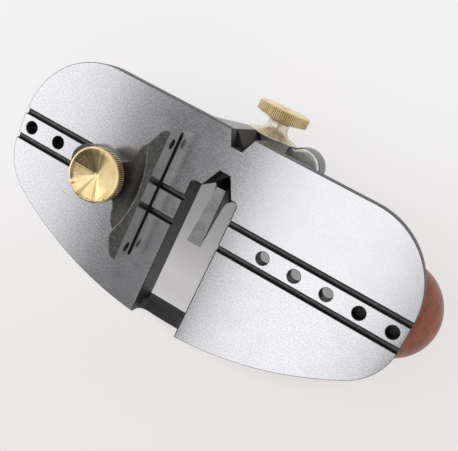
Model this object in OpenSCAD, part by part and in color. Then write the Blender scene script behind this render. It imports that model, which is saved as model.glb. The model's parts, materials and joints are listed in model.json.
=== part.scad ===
// Router plane with a D-shaped iron sole, lying on its back.
// Each piece is drawn about the sole: X runs along the row of holes, Y towards the straight
// rear edge, and Z stands out of the sole. The whole is then lifted onto its handles.

/* [Sole] */
// Half the length of the sole
sole_half = 96.6; // [92:0.1:104]
// Thickness of the sole plate
sole_t = 7; // [6:0.1:9]
// Distance of the straight rear edge from the row of holes
rear_y = 42; // [40:0.1:46]
// Radius of the two rear corners
rear_r = 34.5; // [28:0.5:38]
// Radius of the two front corners
front_r = 26; // [20:0.5:30]
// Radius of the front edge
belly_r = 162; // [150:1:180]
// Depth of the front edge below the row of holes
belly_depth = 51.3; // [48:0.1:56]
// Distance between neighbouring holes
hole_pitch = 15; // [14:0.5:16]
// Distance of the first hole from the middle
hole_first = 31; // [30:0.5:32]
// Diameter of a hole
hole_d = 5.7; // [5:0.1:6.2]
// Width of a fence groove
groove_w = 2.5; // [1.5:0.1:3]
// Depth of a fence groove
groove_depth = 1.8; // [1:0.1:2.2]
// Distance between the two fence grooves, middle to middle
groove_gap = 12; // [11:0.1:14]

/* [Throat] */
// Width of the throat
throat_w = 22.6; // [20:0.1:24]
// Rear end of the throat
throat_y = 15.1; // [14.6:0.1:15.6]
// Thickness of the throat's side walls
wall_t = 5; // [4:0.5:6]
// Depth of the side walls below the sole plane
wall_depth = 15.4; // [13:0.1:18]
// Depth of the near face of the arch below the sole plane
arch_depth = 10; // [9:0.1:11]
// Height of the arch
arch_h = 8; // [6:0.1:10]
// Length of the arch along the throat
arch_len = 5.6; // [5:0.1:8]
// Radius where the arch runs into the side walls
arch_r = 4.5; // [3:0.1:5]

/* [Post] */
// Sideways place of the post, the cutter and the clamp
post_x = 0.8; // [0:0.1:1]
// Half width of the post at the sole plate
post_root = 17.5; // [16:0.1:18]
// Half width of the post's block at its top
post_shoulder = 11.1; // [10.5:0.1:12]
// Depth of the block's top below the sole plane
shoulder_depth = 37; // [36:0.1:37.4]
// Half width of the upper post
mast_half = 9.3; // [9:0.1:9.5]
// Rear face of the upper post
mast_rear = 33.7; // [33:0.1:34]
// Bottom of the rear V groove
rear_v_y = 36.5; // [36:0.1:37]

/* [Handles] */
// Height at which the sole plane stands above the table
sole_height = 66; // [66:0.5:72]
// Distance of a handle from the middle
handle_x = 86; // [85.5:0.1:86.2]
// Largest radius of a handle
handle_r = 22.2; // [20:0.1:24]
// Depth of the widest place of a handle
handle_mid = 35.3; // [33:0.1:38]
// Radius of the neck of a handle and of its boss
neck_r = 10.3; // [9:0.1:10.4]
// Depth of the boss under a handle
boss_depth = 14; // [13:0.1:15]
// Diameter of a handle's screw
handle_screw_d = 5; // [4:0.1:5]

/* [Cutter] */
// Side of the square shank
shank = 10; // [9:0.1:10]
// Length of the foot from heel to edge
foot_len = 26.8; // [24:0.1:28]
// Width of the cutting edge
edge_w = 5.9; // [5:0.1:6.4]
// Width of the heel
heel_w = 4.3; // [4:0.1:5]
// Depth of the heel below the sole plane
heel_depth = 4.8; // [4:0.1:5.4]
// Depth of the cutting edge below the sole plane
edge_depth = 3.2; // [2.8:0.1:3.6]

/* [Clamp] */
// Depth of the near face of the collar below the sole plane
collar_near = 38.2; // [38.2:0.1:39]
// Height of the collar
collar_h = 15; // [14:0.1:15.2]
// Rear face of the collar
collar_rear = 41; // [40.6:0.1:41]
// Radius of the round end of the collar's lug
lug_r = 9.3; // [8.6:0.1:9.3]
// Depth of the clamp screw's axis
clamp_depth = 45.4; // [45:0.1:46]
// Diameter of the clamp stud
stud_d = 6; // [5:0.1:6]
// Radius of the clamp knob's flange
flange_r = 12.3; // [11:0.1:12.4]
// Radius of the clamp knob's wheel
wheel_r = 12.5; // [11:0.1:13]
// Rear end of the clamp knob
clamp_end = 57; // [56:0.1:58]

/* [Adjuster] */
// Sideways place of the adjuster rod
rod_x = 20; // [19.8:0.1:20.4]
// Place of the adjuster rod along Y
rod_y = 31.6; // [31:0.1:31.8]
// Diameter of the adjuster rod
rod_d = 6; // [5:0.1:6]
// Radius of the adjuster nut's knurled rim
nut_r = 8.5; // [7.5:0.1:8.8]

/* [Fence] */
// Sideways place of the fence's face
fence_x = -23.6; // [-25:0.1:-23]
// Length of the fence's face
fence_len = 59.8; // [56:0.1:62]
// Height of the fence's face
fence_h = 13; // [12:0.1:14]
// Height of the fence's leg
leg_h = 7; // [6:0.1:7]
// Travel that the slot in the leg gives
slot_travel = 10; // [8:0.5:10]
// Distance between the two screw holes in the face
face_holes = 49.2; // [48:0.1:50]
// Diameter of the screw holes in the face
face_hole_d = 4.8; // [4:0.1:5]
// Radius of the fence knob
fence_knob_r = 12; // [11:0.1:12.2]
// Height of the fence knob's rim above the sole plane
fence_knob_top = 17; // [16.5:0.1:18]

/* [Hidden] */
$fn = 96;
// Overlap that keeps a cut clear of the face it starts from
cut = 1;
// How far the throat's cut runs on past the front edge
overrun = 10;
// Gap between a screw and the hole that it turns in
running = 0.05;
// Gap between two pieces that lie against each other
touch = 0.1;
y_mid = (clamp_end - belly_depth) / 2;
belly_y = belly_r - belly_depth;
rear_x = sole_half - rear_r;
rear_corner_y = rear_y - rear_r;
front_x = sole_half - front_r;
front_y = belly_y - sqrt(pow(belly_r - front_r, 2) - pow(front_x, 2));
tangent = atan2(front_y - belly_y, front_x);
throat_half = throat_w / 2;
wall_out = throat_half + wall_t;
throat_corner_r = 1.75;
// The row of grooves lies a little to the rear of the row of holes
groove_mid = 0.2;
// Notches in the sole: half widths at the mouth and at the flat bottom, and the bottom's place
front_notch = [7.1, 2.5, 23.9];
rear_notch = [5.5, 2.5, 35.4];
shank_half = shank / sqrt(2);
front_v_y = throat_y + shank_half;
// Three holes of each row show the pale table; the last two are dark, as a boss stands behind them
holes_in_row = 5;
holes_through = 3;
blind_depth = 6;
pillar_r = 5.5;
lock_nut_h = 3;
lock_nut_af = 10;
pillar_depth = shoulder_depth - 1 - lock_nut_h;
rod_root = 22;
// Counterbore of a handle, and the screw and washer in it
cup_r = 6.8;
cup_depth = 7;
cup_washer_r = 6.5;
cup_washer_t = 1.5;
screw_head_r = 4.8;
screw_head_h = 4.5;
screw_slot_w = 1.2;
screw_slot_depth = 1.5;
rod_end = sole_height - 1;
collar_far = collar_near + collar_h;
lug_x = 20;
lug_rear_y = 35;
lug_front_y = 30.5;
collar_left = 12.8 + post_x;
collar_right = 13.6 + post_x;
collar_front = 6;
window_rear = 36.2;
window_half = mast_half + 0.3;
// The cutter's heel reaches a little past the throat's end, into the notch
heel_y = throat_y + 1.3;
edge_y = heel_y - foot_len;
key_r = 1.5;
key_y = 9.2;
key_half = 8.8;
// The shank has a spare key notch for deeper work
spare_notch = 12;
pad_r = 5.5;
// Depth of the recess that takes the pad when the clamp is open
pad_recess = 2.2;
flange_gap = 0.3;
flange_y = collar_rear + flange_gap;
spigot_r = 4.4;
ring_h = 1;
ring_gap = 1.2;
ring_r = 5.4;
groove_r = 3.9;
counter_r = 5.8;
counter_depth = 3.1;
nut_h = 5;
clamp_stud_end = 52;
slot_half = 3.1;
fence_y = 0.75;
fence_stud_x = -(hole_first + hole_pitch);
slot_start = fence_x - fence_stud_x;
leg_round = 7.8;
leg_half = 18;
leg_step_u = 11.6;
face_hole_z = 6;
washer_r = 7.6;
washer_t = 1.2;
fence_stud_r = hole_d / 2 - running;
fence_stud_low = 6.5;
fence_stud_high = 12;

function arc(c, r, a0, a1, n) =
    [for (i = [0:n]) c + r * [cos(a0 + (a1 - a0) * i / n), sin(a0 + (a1 - a0) * i / n)]];

// Lifts the whole tool so that its handles and post stand on the table
module on_back() {
    translate([0, -y_mid, sole_height])
        children();
}

// Draws an outline of [x, z] points along Y, from y0 to y1
module along_y(y0, y1) {
    translate([0, y1, 0])
        rotate([90, 0, 0])
            linear_extrude(y1 - y0)
                children();
}

module sole_outline() {
    belly = [for (i = [1:47]) -180 - tangent + (2 * tangent + 180) * i / 48];
    polygon(concat(
        arc([front_x, front_y], front_r, tangent, 0, 14),
        arc([rear_x, rear_corner_y], rear_r, 0, 90, 24),
        arc([-rear_x, rear_corner_y], rear_r, 90, 180, 24),
        arc([-front_x, front_y], front_r, 180, 180 - tangent, 14),
        [for (a = belly) [0, belly_y] + belly_r * [cos(a), sin(a)]]));
}

module throat_outline() {
    r = throat_corner_r;
    polygon(concat(
        [[-throat_half, -belly_depth - overrun], [throat_half, -belly_depth - overrun]],
        arc([throat_half - r, throat_y - r], r, 0, 90, 8),
        arc([-throat_half + r, throat_y - r], r, 90, 180, 8)));
}

// Notch in the sole plate, from its mouth at mouth_y to its flat bottom
module notch(sizes, mouth_y) {
    past = mouth_y > sizes[2] ? cut : -cut;
    polygon([[post_x - sizes[0], mouth_y], [post_x - sizes[1], sizes[2]],
        [post_x + sizes[1], sizes[2]], [post_x + sizes[0], mouth_y],
        [post_x + sizes[0], mouth_y + past], [post_x - sizes[0], mouth_y + past]]);
}

// Right-angled V groove with its bottom at y, open towards side
module v_groove(y, side) {
    reach = 9;
    polygon([[post_x, y], [post_x - reach, y + side * reach], [post_x + reach, y + side * reach]]);
}

module arch_outline() {
    out_r = 6;
    low = arch_depth + arch_h;
    inner = throat_half - arch_r;
    side = sole_t - cut;
    polygon(concat(
        [[-wall_out, -side]],
        arc([-inner, arch_r - arch_depth], arch_r, 180, 270, 10),
        arc([inner, arch_r - arch_depth], arch_r, 270, 360, 10),
        [[wall_out, -side]],
        arc([wall_out - out_r, out_r - low], out_r, 0, -90, 10),
        arc([-wall_out + out_r, out_r - low], out_r, 270, 180, 10)));
}

module block_outline() {
    polygon([[post_x - post_root, -sole_t + cut], [post_x - post_root, -sole_t],
        [post_x - post_shoulder, -shoulder_depth], [post_x + post_shoulder, -shoulder_depth],
        [post_x + post_root, -sole_t], [post_x + post_root, -sole_t + cut]]);
}

module casting_blank() {
    translate([0, 0, -sole_t])
        linear_extrude(sole_t)
            sole_outline();
    translate([0, 0, -wall_depth])
        linear_extrude(wall_depth - sole_t + cut)
            intersection() {
                sole_outline();
                translate([-wall_out, -belly_depth])
                    square([2 * wall_out, belly_depth + throat_y + cut]);
            }
    along_y(throat_y, rear_y)
        block_outline();
    translate([post_x - mast_half, throat_y, -sole_height])
        cube([2 * mast_half, mast_rear - throat_y, sole_height - shoulder_depth + cut]);
    translate([rod_x, rod_y, -pillar_depth])
        cylinder(r = pillar_r, h = pillar_depth - sole_t + cut);
    for (side = [-1, 1])
        translate([side * handle_x, 0, -boss_depth])
            cylinder(r = neck_r, h = boss_depth - sole_t + cut);
}

module casting_cuts() {
    translate([0, 0, -sole_height - cut])
        linear_extrude(sole_height + 2 * cut)
            throat_outline();
    translate([0, 0, -sole_t])
        linear_extrude(sole_t + cut) {
            notch(front_notch, throat_y);
            notch(rear_notch, rear_y);
        }
    translate([0, 0, -sole_height - cut])
        linear_extrude(sole_height - sole_t + cut)
            v_groove(front_v_y, -1);
    translate([0, 0, -shoulder_depth - cut])
        linear_extrude(shoulder_depth - sole_t + cut)
            v_groove(rear_v_y, 1);
    // Shallow round recess that clears the flange of the clamp knob
    translate([post_x, flange_y - flange_gap, -clamp_depth])
        rotate([-90, 0, 0])
            cylinder(r = flange_r + flange_gap, h = rear_y);
    for (side = [-1, 1]) {
        for (i = [0:holes_in_row - 1]) {
            depth = i < holes_through ? sole_t + cut : blind_depth;
            translate([side * (hole_first + i * hole_pitch), 0, -depth])
                cylinder(d = hole_d, h = depth + cut);
        }
        translate([side * handle_x, 0, -boss_depth - cut])
            cylinder(d = handle_screw_d, h = boss_depth - sole_t + cut);
        translate([-sole_half - cut, groove_mid + side * groove_gap / 2 - groove_w / 2, -groove_depth])
            cube([2 * sole_half + 2 * cut, groove_w, groove_depth + cut]);
    }
    translate([rod_x, rod_y, -pillar_depth - cut])
        cylinder(d = rod_d, h = pillar_depth - rod_root + cut);
}

module body_casting() {
    color("dimgray")
        on_back() {
            difference() {
                casting_blank();
                casting_cuts();
            }
            intersection() {
                along_y(-belly_depth - cut, arch_len - belly_depth)
                    arch_outline();
                translate([0, 0, -sole_height])
                    linear_extrude(sole_height)
                        sole_outline();
            }
        }
}

// Egg-shaped handle on a short neck, with a counterbore for its screw's washer
module handle(side) {
    low = sole_height - handle_mid;
    flat_r = 9;
    neck_end = boss_depth + 1;
    near = handle_mid - neck_end;
    top_a = acos(flat_r / handle_r);
    neck_a = acos(neck_r / handle_r);
    profile = concat(
        [[0, -boss_depth], [neck_r, -boss_depth], [neck_r, -neck_end]],
        [for (i = [0:19]) let (a = neck_a * (1 - i / 20))
            [handle_r * cos(a), -handle_mid + near * sin(a) / sin(neck_a)]],
        [for (i = [0:20]) let (a = top_a * i / 20)
            [handle_r * cos(a), -handle_mid - low * sin(a) / sin(top_a)]],
        [[0, -sole_height]]);
    color("sienna")
        on_back()
            translate([side * handle_x, 0, 0])
                difference() {
                    rotate_extrude()
                        polygon(profile);
                    translate([0, 0, -sole_height - cut])
                        cylinder(d = handle_screw_d + 2 * running, h = sole_height);
                    translate([0, 0, -sole_height - cut])
                        cylinder(r = cup_r, h = cup_depth + cut);
                }
}

module handle_screw(side) {
    head_low = cup_depth - cup_washer_t - screw_head_h;
    tip_depth = sole_t + 0.2;
    color("goldenrod")
        on_back()
            translate([side * handle_x, 0, 0])
                difference() {
                    union() {
                        translate([0, 0, head_low - sole_height])
                            cylinder(r1 = screw_head_r - 0.8, r2 = screw_head_r, h = 1);
                        translate([0, 0, head_low + 1 - sole_height])
                            cylinder(r = screw_head_r, h = screw_head_h - 1);
                        translate([0, 0, head_low + 1 - sole_height])
                            cylinder(d = handle_screw_d, h = sole_height - head_low - 1 - tip_depth);
                    }
                    translate([-cup_r, -screw_slot_w / 2, -sole_height])
                        cube([2 * cup_r, screw_slot_w, head_low + screw_slot_depth]);
                }
}

module handle_washer(side) {
    color("darkgoldenrod")
        on_back()
            translate([side * handle_x, 0, cup_depth - cup_washer_t - sole_height])
                difference() {
                    cylinder(r = cup_washer_r, h = cup_washer_t);
                    translate([0, 0, -cut])
                        cylinder(d = handle_screw_d, h = cup_washer_t + 2 * cut);
                }
}

module left_knob() {
    handle(-1);
}

module right_knob() {
    handle(1);
}

module left_knob_screw() {
    handle_screw(-1);
}

module right_knob_screw() {
    handle_screw(1);
}

module left_knob_washer() {
    handle_washer(-1);
}

module right_knob_washer() {
    handle_washer(1);
}

// Side view of the foot and its neck, as [y, -depth] points
module foot_side() {
    neck_front = 9.8;
    neck_rear = front_v_y - 0.7;
    neck_depth = 20;
    heel_top = 14;
    fillet = 5;
    slope = 22.7;
    top_edge = edge_depth + 0.3;
    hub_y = neck_front - fillet;
    hub_z = -top_edge - (hub_y - edge_y) * tan(slope) - fillet / cos(slope);
    polygon(concat(
        [[edge_y, -edge_depth], [heel_y, -heel_depth], [neck_rear, -heel_top],
            [neck_rear, -neck_depth], [neck_front, -neck_depth]],
        arc([hub_y, hub_z], fillet, 0, 90 - slope, 8),
        [[edge_y, -top_edge]]));
}

module cutter() {
    shank_near = 17;
    shank_far = 54;
    shank_back = front_v_y - touch;
    color("gainsboro")
        on_back() {
            intersection() {
                translate([post_x - shank, 0, 0])
                    rotate([90, 0, 90])
                        linear_extrude(2 * shank)
                            foot_side();
                translate([post_x, 0, -shank_far])
                    linear_extrude(shank_far)
                        polygon([[-edge_w / 2, edge_y - cut], [edge_w / 2, edge_y - cut],
                            [edge_w / 2, edge_y], [heel_w / 2, heel_y],
                            [heel_w / 2, shank_back - heel_w / 2], [0, shank_back],
                            [-heel_w / 2, shank_back - heel_w / 2],
                            [-heel_w / 2, heel_y], [-edge_w / 2, edge_y]]);
            }
            difference() {
                translate([post_x, throat_y - touch, -shank_far])
                    rotate(45)
                        translate([-shank / 2, -shank / 2, 0])
                            cube([shank, shank, shank_far - shank_near]);
                for (step = [0, spare_notch])
                    translate([post_x - shank, key_y, step - clamp_depth])
                        rotate([0, 90, 0])
                            cylinder(r = key_r + running, h = 2 * shank);
            }
        }
}

module cutter_key() {
    color("silver")
        on_back()
            translate([post_x - key_half, key_y, -clamp_depth])
                rotate([0, 90, 0])
                    cylinder(r = key_r, h = 2 * key_half);
}

module collar_outline() {
    r = 3;
    corner = 4;
    window_front = throat_y - touch - running;
    // The pocket for the front half of the shank
    pocket = shank_half + touch;
    difference() {
        union() {
            polygon(concat(
                arc([-collar_left + 2 * post_x + r, collar_front + r], r, 180, 270, 6),
                arc([collar_right - r, collar_front + r], r, 270, 360, 6),
                [[collar_right, lug_front_y], [lug_x, lug_front_y], [lug_x, collar_rear]],
                [[-collar_left + 2 * post_x + corner, collar_rear],
                    [-collar_left + 2 * post_x, collar_rear - corner]]));
            translate([lug_x, lug_rear_y])
                circle(lug_r);
            translate([lug_x, lug_front_y])
                circle(lug_r);
            translate([lug_x, lug_front_y])
                square([lug_r, lug_rear_y - lug_front_y]);
        }
        polygon([[post_x, window_front - pocket], [post_x + pocket, window_front],
            [post_x + window_half, window_front], [post_x + window_half, window_rear],
            [post_x - window_half, window_rear], [post_x - window_half, window_front],
            [post_x - pocket, window_front]]);
    }
}

module clamp_collar() {
    color("silver")
        on_back()
            difference() {
                translate([0, 0, -collar_far])
                    linear_extrude(collar_h)
                        collar_outline();
                translate([post_x, collar_rear + cut, -clamp_depth])
                    rotate([90, 0, 0])
                        cylinder(d = stud_d + 2 * running, h = collar_rear - window_rear + 2 * cut);
                translate([post_x, window_rear + pad_recess, -clamp_depth])
                    rotate([90, 0, 0])
                        cylinder(r = pad_r + flange_gap, h = pad_recess + cut);
                translate([rod_x, rod_y, -collar_far - cut])
                    cylinder(r = spigot_r + running, h = collar_h + 2 * cut);
                translate([rod_x, rod_y, -collar_near - counter_depth])
                    cylinder(r = counter_r, h = counter_depth + cut);
                translate([post_x - key_half, key_y, -clamp_depth])
                    rotate([0, 90, 0])
                        cylinder(r = key_r, h = 2 * key_half);
            }
}

module clamp_pad() {
    color("darkgoldenrod")
        on_back()
            translate([post_x, window_rear - touch, -clamp_depth])
                rotate([90, 0, 0])
                    cylinder(r = pad_r, h = window_rear - mast_rear - 2 * touch);
}

module clamp_stud() {
    color("gray")
        on_back()
            translate([post_x, clamp_stud_end, -clamp_depth])
                rotate([90, 0, 0])
                    cylinder(d = stud_d, h = clamp_stud_end - window_rear);
}

// The profile holds [radius, distance from the flange's face] points
module clamp_knob() {
    len = clamp_end - flange_y;
    flange_t = 0.7;
    waist_r = 5.2;
    cove_r = 5.6;
    cove_mid = 6.6;
    cove_a = 232;
    face_r = 9.3;
    face_at = [7.4, 8.9, 10.1];
    bevel = 1.7;
    color("gold")
        on_back()
            translate([post_x, flange_y, -clamp_depth])
                rotate([-90, 0, 0])
                    difference() {
                        rotate_extrude()
                            polygon(concat(
                                [[0, 0], [flange_r, 0], [flange_r, flange_t]],
                                arc([waist_r + cove_r, cove_mid], cove_r, cove_a, 180, 10),
                                [[waist_r, face_at[0]], [face_r, face_at[1]],
                                    [wheel_r, face_at[2]], [wheel_r, len - bevel],
                                    [wheel_r - bevel, len], [0, len]]));
                        translate([0, 0, -cut])
                            cylinder(d = stud_d, h = clamp_stud_end - flange_y + cut);
                    }
}

module adjuster_rod() {
    color("gray")
        on_back()
            translate([rod_x, rod_y, -rod_end])
                cylinder(d = rod_d, h = rod_end - rod_root);
}

module adjuster_lock_nut() {
    color("silver")
        on_back()
            translate([rod_x, rod_y, -pillar_depth - lock_nut_h])
                difference() {
                    cylinder(d = lock_nut_af / cos(30), h = lock_nut_h, $fn = 6);
                    translate([0, 0, -cut])
                        cylinder(d = rod_d, h = lock_nut_h + 2 * cut);
                }
}

module adjuster_nut() {
    ring_z = -collar_near - counter_depth + touch;
    color("gold")
        on_back()
            translate([rod_x, rod_y, 0])
                difference() {
                    union() {
                        translate([0, 0, -collar_far - touch - nut_h])
                            cylinder(r = nut_r, h = nut_h);
                        translate([0, 0, -collar_far - touch - cut])
                            cylinder(r = spigot_r, h = collar_far + cut - collar_near);
                    }
                    translate([0, 0, ring_z])
                        difference() {
                            cylinder(r = spigot_r + cut, h = ring_h);
                            cylinder(r = groove_r, h = ring_h);
                        }
                    translate([0, 0, -sole_height])
                        cylinder(d = rod_d + 2 * running, h = sole_height);
                }
}

module adjuster_ring() {
    color("silver")
        on_back()
            translate([rod_x, rod_y, -collar_near - counter_depth + touch])
                difference() {
                    cylinder(r = ring_r, h = ring_h);
                    translate([0, 0, -cut])
                        cylinder(r = groove_r, h = ring_h + 2 * cut);
                    translate([0, -ring_gap / 2, -cut])
                        cube([2 * ring_r, ring_gap, ring_h + 2 * cut]);
                }
}

// Outlines of the fence: u runs back from its face, v along the face
module bar_outline() {
    hollow_r = 47;
    waist = 2.7;
    lobe_v = 20.7;
    lobe_a = asin(lobe_v / hollow_r);
    tip_u = 3.3;
    polygon(concat(
        [[0, -fence_len / 2], [0, fence_len / 2], [tip_u, fence_len / 2]],
        arc([waist + hollow_r, 0], hollow_r, 180 - lobe_a, 180 + lobe_a, 16),
        [[tip_u, -fence_len / 2]]));
}

module leg_outline() {
    hub = [19.5, 14.1];
    hub_r = 6.7;
    round_a = 95;
    end_u = slot_start + slot_travel;
    polygon(concat(
        [[cut, -leg_half], [cut, leg_half], [leg_step_u, leg_half]],
        arc(hub, hub_r, 180, 270, 10),
        arc([end_u, 0], leg_round, round_a, -round_a, 20),
        arc([hub[0], -hub[1]], hub_r, 90, 180, 10),
        [[leg_step_u, -leg_half]]));
}

module fence() {
    key_t = 2.2;
    key_drop = 1.4;
    key_u = 2;
    key_len = 12;
    hole_reach = 10;
    color("darkslategray")
        on_back()
            translate([fence_x, fence_y, running])
                mirror([1, 0, 0])
                    difference() {
                        union() {
                            linear_extrude(fence_h)
                                bar_outline();
                            linear_extrude(leg_h)
                                leg_outline();
                            for (side = [-1, 1])
                                translate([key_u,
                                        groove_mid + side * groove_gap / 2 - key_t / 2 - fence_y,
                                        -key_drop])
                                    cube([key_len, key_t, key_drop + cut]);
                        }
                        translate([slot_start, -slot_half - fence_y, -2 * cut])
                            cube([slot_travel, 2 * slot_half, leg_h + 3 * cut]);
                        for (u = [slot_start, slot_start + slot_travel])
                            translate([u, -fence_y, -2 * cut])
                                cylinder(r = slot_half, h = leg_h + 3 * cut);
                        for (v = [-1, 1])
                            translate([-cut, v * face_holes / 2, face_hole_z])
                                rotate([0, 90, 0])
                                    cylinder(d = face_hole_d, h = hole_reach);
                    }
}

module fence_washer() {
    color("silver")
        on_back()
            translate([fence_stud_x, 0, leg_h + touch])
                difference() {
                    cylinder(r = washer_r, h = washer_t);
                    translate([0, 0, -cut])
                        cylinder(r = fence_stud_r + running, h = washer_t + 2 * cut);
                }
}

module fence_stud() {
    color("gray")
        on_back()
            translate([fence_stud_x, 0, -fence_stud_low])
                cylinder(r = fence_stud_r, h = fence_stud_low + fence_stud_high);
}

module fence_knob() {
    base = leg_h + touch + washer_t + running;
    hub_r = 6.8;
    rim = 5.3;
    under = 1.4;
    bevel = 0.6;
    dish = 3.6;
    color("gold")
        on_back()
            translate([fence_stud_x, 0, 0])
                difference() {
                    rotate_extrude()
                        polygon([[0, base], [hub_r, base], [hub_r, fence_knob_top - rim - under],
                            [fence_knob_r, fence_knob_top - rim],
                            [fence_knob_r, fence_knob_top - bevel],
                            [fence_knob_r - bevel, fence_knob_top], [0, fence_knob_top - dish]]);
                    translate([0, 0, -cut])
                        cylinder(r = fence_stud_r, h = fence_stud_high + cut);
                }
}

body_casting();
left_knob();
right_knob();
left_knob_screw();
right_knob_screw();
left_knob_washer();
right_knob_washer();
cutter();
clamp_collar();
cutter_key();
clamp_pad();
clamp_stud();
clamp_knob();
adjuster_rod();
adjuster_lock_nut();
adjuster_nut();
adjuster_ring();
fence();
fence_washer();
fence_stud();
fence_knob();
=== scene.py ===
# %% [markdown]
# This notebook dresses a router plane. The tool lies on its back: it stands on its two wooden
# handles and its post, and shows the ground sole with the cutter in the throat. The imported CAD
# model gives every piece's place, and each cell below makes one piece or one finish around it.

import json
import math

import bmesh
import bpy
from mathutils import Euler, Matrix, Vector

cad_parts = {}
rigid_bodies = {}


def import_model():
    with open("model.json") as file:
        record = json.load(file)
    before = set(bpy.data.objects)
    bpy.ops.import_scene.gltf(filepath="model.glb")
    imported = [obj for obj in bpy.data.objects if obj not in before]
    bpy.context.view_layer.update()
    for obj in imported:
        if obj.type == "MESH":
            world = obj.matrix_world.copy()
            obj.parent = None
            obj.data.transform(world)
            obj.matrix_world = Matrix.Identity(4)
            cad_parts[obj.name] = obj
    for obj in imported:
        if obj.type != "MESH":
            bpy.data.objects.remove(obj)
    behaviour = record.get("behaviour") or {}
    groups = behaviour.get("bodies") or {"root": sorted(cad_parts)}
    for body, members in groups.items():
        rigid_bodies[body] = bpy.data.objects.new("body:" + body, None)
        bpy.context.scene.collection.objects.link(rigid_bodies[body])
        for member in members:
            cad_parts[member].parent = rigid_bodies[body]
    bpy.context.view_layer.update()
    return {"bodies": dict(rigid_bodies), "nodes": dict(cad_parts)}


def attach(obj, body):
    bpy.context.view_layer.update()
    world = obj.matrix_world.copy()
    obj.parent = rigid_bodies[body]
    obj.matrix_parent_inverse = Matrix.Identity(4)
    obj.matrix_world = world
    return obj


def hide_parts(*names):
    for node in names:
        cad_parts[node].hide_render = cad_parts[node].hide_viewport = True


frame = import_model()

# %% [markdown]
# All sizes below are in millimetres about the sole: X runs along the row of holes, Y towards the
# straight rear edge, and Z stands out of the sole, with the row of holes at Y = 0 and the sole
# at Z = 0. One matrix carries that drawing into the frame's metres, where the sole is 66 mm above
# the table. The matrix goes into each mesh, so every object itself stays unmoved at the origin.

# %% The drawing's place in the frame
SOLE_HEIGHT = 66
DRAWING_Y = 2.85
MM = 0.001
TO_FRAME = Matrix.Scale(MM, 4) @ Matrix.Translation((0, -DRAWING_Y, SOLE_HEIGHT))
TO_DRAWING = TO_FRAME.inverted()


def new_object(name, data):
    thing = bpy.data.objects.new(name, data)
    bpy.context.scene.collection.objects.link(thing)
    return thing


print("the sole's middle is at", TO_FRAME @ Vector((0, 0, 0)))

# %% [markdown]
# A camera that isn't turned looks straight down, with Y up the picture. The photograph's camera
# hangs over the sole's right rear corner, turned and tilted. It could aim at a point with a
# constraint, but three angles are shorter, and they keep the picture's own slant. The angles, the
# place and the lens were solved from the row of holes, the throat and the rear edge.

# %% Camera
CAMERA_AT = Vector((86.03, 81.33, 291.85))
CAMERA_ANGLES = (-6.4653, 18.9413, 26.4973)
LENS, SENSOR = 58.28, 36

camera_data = bpy.data.cameras.new("camera")
camera_data.lens, camera_data.sensor_width = LENS, SENSOR
camera_data.sensor_fit = "HORIZONTAL"
camera_data.clip_start = 0.01
camera = new_object("camera", camera_data)
camera_turn = Euler([math.radians(angle) for angle in CAMERA_ANGLES], "XYZ").to_matrix()
camera.matrix_world = Matrix.Translation(TO_FRAME @ CAMERA_AT) @ camera_turn.to_4x4()
bpy.context.scene.camera = camera
print("camera at", [round(c, 1) for c in CAMERA_AT], "mm with a lens of", LENS, "mm")

# %% [markdown]
# Shader maths could be wired up node by node, but a formula is easier to read as plain Python. A
# Flow is a value that leaves a node, and adding or multiplying Flows lays Math nodes behind the
# scenes. The reflected forms are there too, so that 1 - mask works.

# %% Flows
class Flow:
    """A value on its way between two nodes."""

    def __init__(self, finish, socket):
        self.finish, self.socket = finish, socket

    def math(self, operation, first, second):
        return self.finish.node("ShaderNodeMath", {"operation": operation}, {0: first, 1: second})

    def __add__(self, other):
        return self.math("ADD", self, other)

    def __radd__(self, other):
        return self.math("ADD", other, self)

    def __sub__(self, other):
        return self.math("SUBTRACT", self, other)

    def __rsub__(self, other):
        return self.math("SUBTRACT", other, self)

    def __mul__(self, other):
        return self.math("MULTIPLY", self, other)

    def __rmul__(self, other):
        return self.math("MULTIPLY", other, self)

    def __truediv__(self, other):
        return self.math("DIVIDE", self, other)

    def __pow__(self, other):
        return self.math("POWER", self, other)


print("Flows add, subtract, multiply, divide and raise to a power")

# %% [markdown]
# A Finish is one node tree, for a material or for the world. Its node method places any node, and
# the others are short names for what the finishes below use again and again: a noise, a smooth
# step from one value to another, a blend of two colours, a bump, and the shader at the end.

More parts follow.
